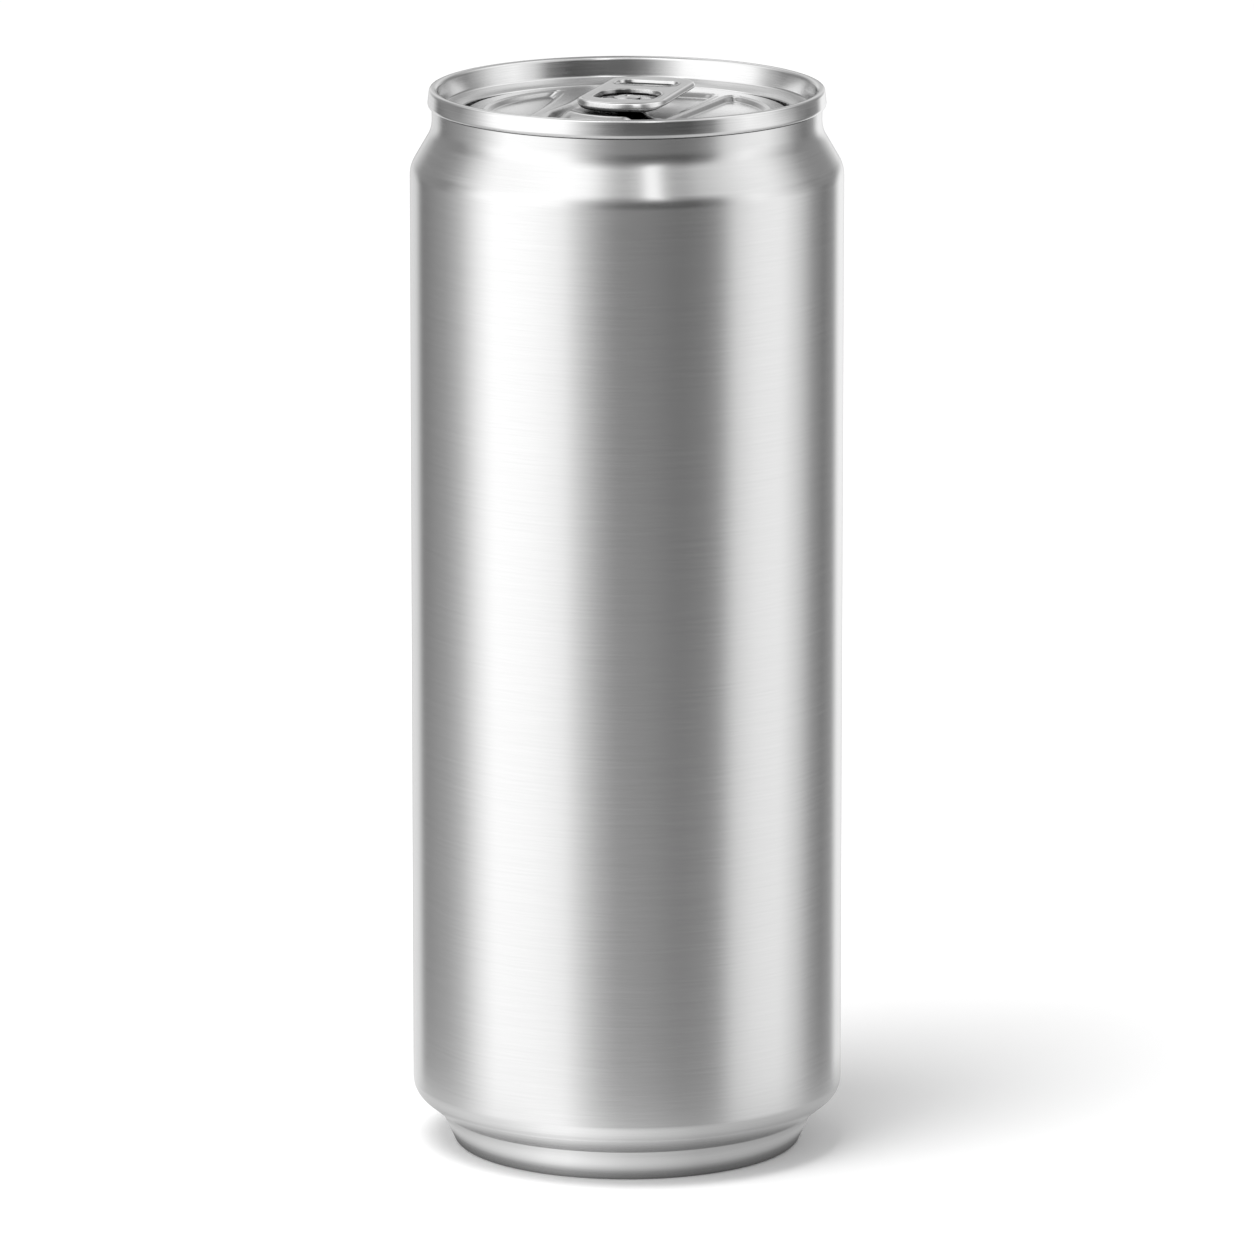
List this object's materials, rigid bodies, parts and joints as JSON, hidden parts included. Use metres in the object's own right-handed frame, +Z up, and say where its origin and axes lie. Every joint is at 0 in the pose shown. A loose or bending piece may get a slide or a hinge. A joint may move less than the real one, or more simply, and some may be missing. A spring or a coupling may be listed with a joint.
{
  "type": "slim beverage can",
  "caption": "Slim unprinted aluminium drink can, shut, with a necked shoulder, a double-seamed end, a riveted stay-on pull tab and a domed base.",
  "frame": {"origin": "centre of the base, in the plane that the can stands on", "axes": "+Z up along the can's axis, the tab lies along Y with its nose towards -Y and its finger end towards +Y"},
  "size_m": [0.058, 0.058, 0.1443],
  "materials": {
    "body_metal": "drawn and ironed aluminium with a fine satin grain that runs round the can",
    "end_metal": "bright rolled aluminium sheet, clear lacquered",
    "tab_metal": "bright aluminium with polished rolled edges"
  },
  "bodies": {
    "root": {"can_body": "body_metal", "can_end": "end_metal", "tab": "tab_metal"}
  },
  "joints": []
}
